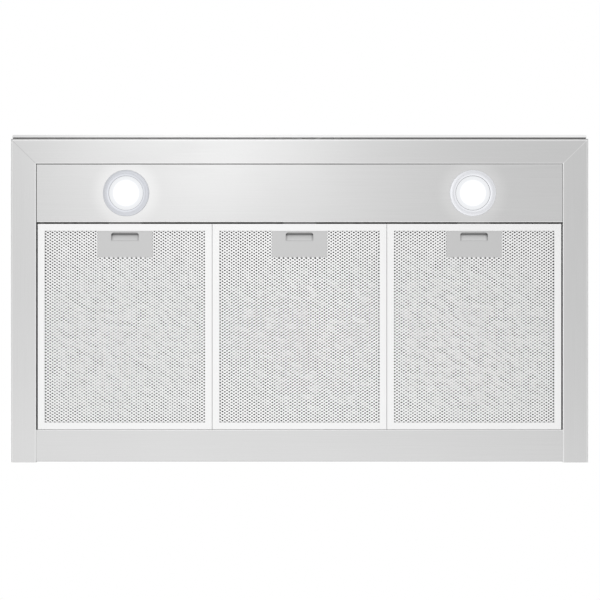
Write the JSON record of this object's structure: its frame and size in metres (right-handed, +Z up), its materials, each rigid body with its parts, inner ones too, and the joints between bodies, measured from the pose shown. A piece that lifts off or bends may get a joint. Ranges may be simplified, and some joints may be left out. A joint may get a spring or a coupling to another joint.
{
  "type": "wall mount range hood",
  "caption": "Wall mount kitchen range hood: pyramid canopy, mesh grease filters with pull latches, round lamps, push buttons, blower, duct collar with damper, telescopic chimney.",
  "frame": {"origin": "centre of the four wall screw holes, on the wall plane", "axes": "+X along the front edge, to the right when looking up from below with the front edge at the top; +Y into the wall; +Z up"},
  "size_m": [0.9, 0.51, 0.7784],
  "materials": {
    "brushed_steel": "fine brushed",
    "galvanised_steel": "zinc coated",
    "filter_frame": "satin",
    "filter_mesh": "bright expanded mesh",
    "filter_core": "dull crimped sheet",
    "latch_plate": "satin",
    "spring_steel": "blued",
    "lamp_bezel": "satin turned",
    "lamp_lens": "frosted, lit",
    "lamp_housing": "cast",
    "button": "satin",
    "black_plastic": "moulded",
    "circuit_board": "coated board",
    "motor_paint": "semi gloss",
    "bright_steel": "plated",
    "impeller_metal": "rolled",
    "damper_metal": "rolled"
  },
  "bodies": {
    "hood": {"canopy_front_panel": "brushed_steel", "canopy_left_panel": "brushed_steel", "canopy_right_panel": "brushed_steel", "front_flange": "brushed_steel", "left_flange": "brushed_steel", "right_flange": "brushed_steel", "back_panel": "galvanised_steel", "top_plate": "galvanised_steel", "light_panel": "brushed_steel", "rear_bar": "brushed_steel", "front_fascia": "brushed_steel", "switch_block": "black_plastic", "control_board": "circuit_board", "lamp_bezels": "lamp_bezel", "lamp_lenses": "lamp_lens", "lamp_housings": "lamp_housing", "lamp_clips": "spring_steel", "blower_right_plate": "galvanised_steel", "blower_left_plate": "galvanised_steel", "blower_scroll": "galvanised_steel", "motor": "motor_paint", "motor_bracket": "galvanised_steel", "capacitor": "black_plastic", "junction_box": "galvanised_steel", "junction_box_cover": "galvanised_steel", "cable_gland": "black_plastic", "collar_flange": "galvanised_steel", "exhaust_collar": "galvanised_steel", "damper_pin": "bright_steel", "chimney_foot": "galvanised_steel", "lower_chimney": "brushed_steel", "hood_screws": "bright_steel"},
    "impeller": {"impeller_drum": "impeller_metal", "impeller_disc": "impeller_metal", "motor_shaft": "bright_steel"},
    "damper_front": {"damper_flap_front": "damper_metal"},
    "damper_rear": {"damper_flap_rear": "damper_metal"},
    "upper_cover": {"upper_chimney": "brushed_steel", "chimney_bracket": "galvanised_steel", "chimney_screws": "bright_steel"},
    "filter_left": {"filter_frame_left": "filter_frame", "filter_mesh_left": "filter_mesh", "filter_core_left": "filter_core"},
    "latch_left": {"filter_latch_left": "latch_plate", "latch_spring_left": "spring_steel"},
    "filter_middle": {"filter_frame_middle": "filter_frame", "filter_mesh_middle": "filter_mesh", "filter_core_middle": "filter_core"},
    "latch_middle": {"filter_latch_middle": "latch_plate", "latch_spring_middle": "spring_steel"},
    "filter_right": {"filter_frame_right": "filter_frame", "filter_mesh_right": "filter_mesh", "filter_core_right": "filter_core"},
    "latch_right": {"filter_latch_right": "latch_plate", "latch_spring_right": "spring_steel"},
    "button_light": {"button_light": "button"},
    "button_stop": {"button_stop": "button"},
    "button_low": {"button_low": "button"},
    "button_medium": {"button_medium": "button"},
    "button_high": {"button_high": "button"}
  },
  "joints": [
    {"name": "filter_swing_left", "type": "hinge", "parent": "hood", "child": "filter_left", "pos_m": [-0.27213, -0.0513, -0.1585], "axis": [1, 0, 0], "range_deg": [0, 60]},
    {"name": "latch_slide_left", "type": "slide", "parent": "filter_left", "child": "latch_left", "axis": [0, 1, 0], "range_m": [0, 0.007], "stiffness_N_per_m": 400, "springref_m": -0.005, "deforming": ["latch_spring_left"]},
    {"name": "filter_swing_middle", "type": "hinge", "parent": "hood", "child": "filter_middle", "pos_m": [0, -0.0513, -0.1585], "axis": [1, 0, 0], "range_deg": [0, 60]},
    {"name": "latch_slide_middle", "type": "slide", "parent": "filter_middle", "child": "latch_middle", "axis": [0, 1, 0], "range_m": [0, 0.007], "stiffness_N_per_m": 400, "springref_m": -0.005, "deforming": ["latch_spring_middle"]},
    {"name": "filter_swing_right", "type": "hinge", "parent": "hood", "child": "filter_right", "pos_m": [0.27213, -0.0513, -0.1585], "axis": [1, 0, 0], "range_deg": [0, 60]},
    {"name": "latch_slide_right", "type": "slide", "parent": "filter_right", "child": "latch_right", "axis": [0, 1, 0], "range_m": [0, 0.007], "stiffness_N_per_m": 400, "springref_m": -0.005, "deforming": ["latch_spring_right"]},
    {"name": "press_light", "type": "slide", "parent": "hood", "child": "button_light", "axis": [0, 1, 0], "range_m": [0, 0.002], "stiffness_N_per_m": 300, "springref_m": -0.003},
    {"name": "press_stop", "type": "slide", "parent": "hood", "child": "button_stop", "axis": [0, 1, 0], "range_m": [0, 0.002], "stiffness_N_per_m": 300, "springref_m": -0.003},
    {"name": "press_low", "type": "slide", "parent": "hood", "child": "button_low", "axis": [0, 1, 0], "range_m": [0, 0.002], "stiffness_N_per_m": 300, "springref_m": -0.003},
    {"name": "press_medium", "type": "slide", "parent": "hood", "child": "button_medium", "axis": [0, 1, 0], "range_m": [0, 0.002], "stiffness_N_per_m": 300, "springref_m": -0.003},
    {"name": "press_high", "type": "slide", "parent": "hood", "child": "button_high", "axis": [0, 1, 0], "range_m": [0, 0.002], "stiffness_N_per_m": 300, "springref_m": -0.003},
    {"name": "impeller_spin", "type": "hinge", "parent": "hood", "child": "impeller", "pos_m": [0, -0.105, -0.01], "axis": [1, 0, 0], "continuous": true},
    {"name": "damper_lift_front", "type": "hinge", "parent": "hood", "child": "damper_front", "pos_m": [0, -0.151, 0.155], "axis": [-1, 0, 0], "range_deg": [0, 75]},
    {"name": "damper_lift_rear", "type": "hinge", "parent": "hood", "child": "damper_rear", "pos_m": [0, -0.151, 0.155], "axis": [1, 0, 0], "range_deg": [0, 75]},
    {"name": "upper_cover_slide", "type": "slide", "parent": "hood", "child": "upper_cover", "axis": [0, 0, 1], "range_m": [0, 0.33]}
  ]
}
